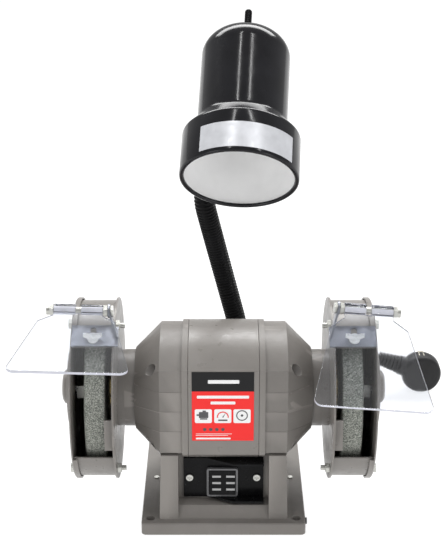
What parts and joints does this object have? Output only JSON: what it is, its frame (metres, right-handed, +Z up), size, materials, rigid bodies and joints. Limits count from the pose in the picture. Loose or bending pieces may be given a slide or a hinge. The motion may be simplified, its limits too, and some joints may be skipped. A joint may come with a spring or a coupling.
{
  "type": "bench grinder with lamp",
  "caption": "Small electric bench grinder: grey motor on a pedestal, a guarded grinding wheel with a clear eye shield at each end, and a gooseneck work lamp.",
  "frame": {"origin": "middle of the base's four bolt holes, on the surface that the feet stand on", "axes": "+X along the spindle to the right as seen from the front, +Y to the back, +Z up"},
  "size_m": [0.359, 0.3849, 0.3916],
  "materials": {
    "casting_grey": "satin grey paint on cast metal",
    "sheet_grey": "satin grey paint on steel sheet",
    "zinc_steel": "bright zinc plate",
    "yellow_zinc": "yellow zinc plate",
    "steel": "ground steel",
    "laminations": "stacked electrical steel",
    "copper_windings": "enamelled copper wire",
    "wheel_grit": "grey abrasive grit",
    "blotter_paper": "plain card",
    "black_plastic": "fine textured black",
    "lamp_black": "gloss black enamel",
    "neck_black": "corrugated black sleeve",
    "porcelain": "glazed lampholder",
    "clear_shield": "clear polycarbonate",
    "label_red": "printed vinyl",
    "label_silver": "silver vinyl",
    "black_rubber": "soft black",
    "plug_metal": "nickel plate"
  },
  "bodies": {
    "base": {"base_casting": "casting_grey", "bottom_cover": "zinc_steel", "bottom_cover_screws": "zinc_steel", "rubber_feet": "black_rubber", "base_side_plug": "black_plastic", "motor_screws": "zinc_steel", "run_capacitor": "black_plastic", "terminal_block": "black_plastic", "switch_panel": "black_plastic", "switch_body": "black_plastic", "panel_screws": "zinc_steel", "motor_shell": "sheet_grey", "end_bell_left": "casting_grey", "end_bell_right": "casting_grey", "tie_bolts": "zinc_steel", "stator_core": "laminations", "stator_windings": "copper_windings", "data_label": "label_red", "bearing_outer_rings": "steel", "guard_left": "sheet_grey", "guard_right": "sheet_grey", "guard_cover_left": "sheet_grey", "guard_cover_right": "sheet_grey", "guard_bolts": "zinc_steel", "guard_screws": "zinc_steel", "neck_socket": "neck_black", "neck_nut": "zinc_steel", "cord_gland": "black_rubber", "power_cord": "black_rubber", "power_cord_coil": "black_rubber", "plug_body": "black_rubber", "plug_contacts": "plug_metal"},
    "spindle": {"spindle_shaft": "steel", "rotor": "laminations", "bearing_inner_rings": "steel", "cooling_fan": "black_plastic", "wheel_left": "wheel_grit", "wheel_right": "wheel_grit", "wheel_blotters": "blotter_paper", "inner_flanges": "yellow_zinc", "outer_flanges": "yellow_zinc", "wheel_nuts": "zinc_steel"},
    "rocker": {"switch_rocker": "black_plastic"},
    "neck_1": {"neck_section_1": "neck_black"},
    "neck_2": {"neck_section_2": "neck_black"},
    "neck_3": {"neck_section_3": "neck_black"},
    "lamp_head": {"neck_section_4": "neck_black", "lamp_collar": "lamp_black", "lamp_shade": "lamp_black", "lamp_holder": "porcelain", "shade_label": "label_silver"},
    "lamp_switch": {"lamp_switch_stalk": "black_plastic"},
    "left_bracket": {"shield_bracket_left": "zinc_steel", "shield_rod_left": "zinc_steel"},
    "left_shield": {"eye_shield_left": "clear_shield"},
    "left_wing_screw": {"wing_screw_left": "zinc_steel"},
    "right_bracket": {"shield_bracket_right": "zinc_steel", "shield_rod_right": "zinc_steel"},
    "right_shield": {"eye_shield_right": "clear_shield"},
    "right_wing_screw": {"wing_screw_right": "zinc_steel"}
  },
  "joints": [
    {"name": "spindle_spin", "type": "hinge", "parent": "base", "child": "spindle", "pos_m": [0, -0.012, 0.1], "axis": [1, 0, 0], "continuous": true},
    {"name": "rocker_tip", "type": "hinge", "parent": "base", "child": "rocker", "pos_m": [-0.001, -0.048, 0.0362], "axis": [1, 0, 0], "range_deg": [0, 10]},
    {"name": "neck_bend_low", "type": "hinge", "parent": "base", "child": "neck_1", "pos_m": [0.0135, 0.06, 0.06], "axis": [1, 0, 0], "range_deg": [-25, 5]},
    {"name": "neck_lean", "type": "hinge", "parent": "neck_1", "child": "neck_2", "pos_m": [0.0133, 0.06, 0.118], "axis": [0, 1, 0], "range_deg": [-30, 30]},
    {"name": "neck_bend_middle", "type": "hinge", "parent": "neck_2", "child": "neck_3", "pos_m": [-0.0057, 0.044, 0.1977], "axis": [1, 0, 0], "range_deg": [-25, 20]},
    {"name": "neck_bend_top", "type": "hinge", "parent": "neck_3", "child": "lamp_head", "pos_m": [-0.0159, 0.026, 0.245], "axis": [1, 0, 0], "range_deg": [-25, 20]},
    {"name": "lamp_switch_turn", "type": "hinge", "parent": "lamp_head", "child": "lamp_switch", "pos_m": [0.01824, 0.03834, 0.37678], "axis": [0.0549, 0.7218, 0.6899], "continuous": true},
    {"name": "left_bracket_slide", "type": "slide", "parent": "base", "child": "left_bracket", "axis": [0, -0.8141, -0.5807], "range_m": [-0.001, 0.004]},
    {"name": "left_shield_tilt", "type": "hinge", "parent": "left_bracket", "child": "left_shield", "pos_m": [-0.11, -0.045, 0.1805], "axis": [0.9997, 0, -0.0262], "range_deg": [-73.8, 32.2]},
    {"name": "left_wing_screw_turn", "type": "hinge", "parent": "base", "child": "left_wing_screw", "pos_m": [-0.099, -0.05477, 0.15996], "axis": [0, -0.5807, 0.8141], "continuous": true},
    {"name": "right_bracket_slide", "type": "slide", "parent": "base", "child": "right_bracket", "axis": [0, -0.8141, -0.5807], "range_m": [-0.001, 0.004]},
    {"name": "right_shield_tilt", "type": "hinge", "parent": "right_bracket", "child": "right_shield", "pos_m": [0.11, -0.045, 0.1805], "axis": [0.9969, 0, -0.0785], "range_deg": [-93.4, 12.6]},
    {"name": "right_wing_screw_turn", "type": "hinge", "parent": "base", "child": "right_wing_screw", "pos_m": [0.099, -0.05477, 0.15996], "axis": [0, -0.5807, 0.8141], "continuous": true}
  ]
}
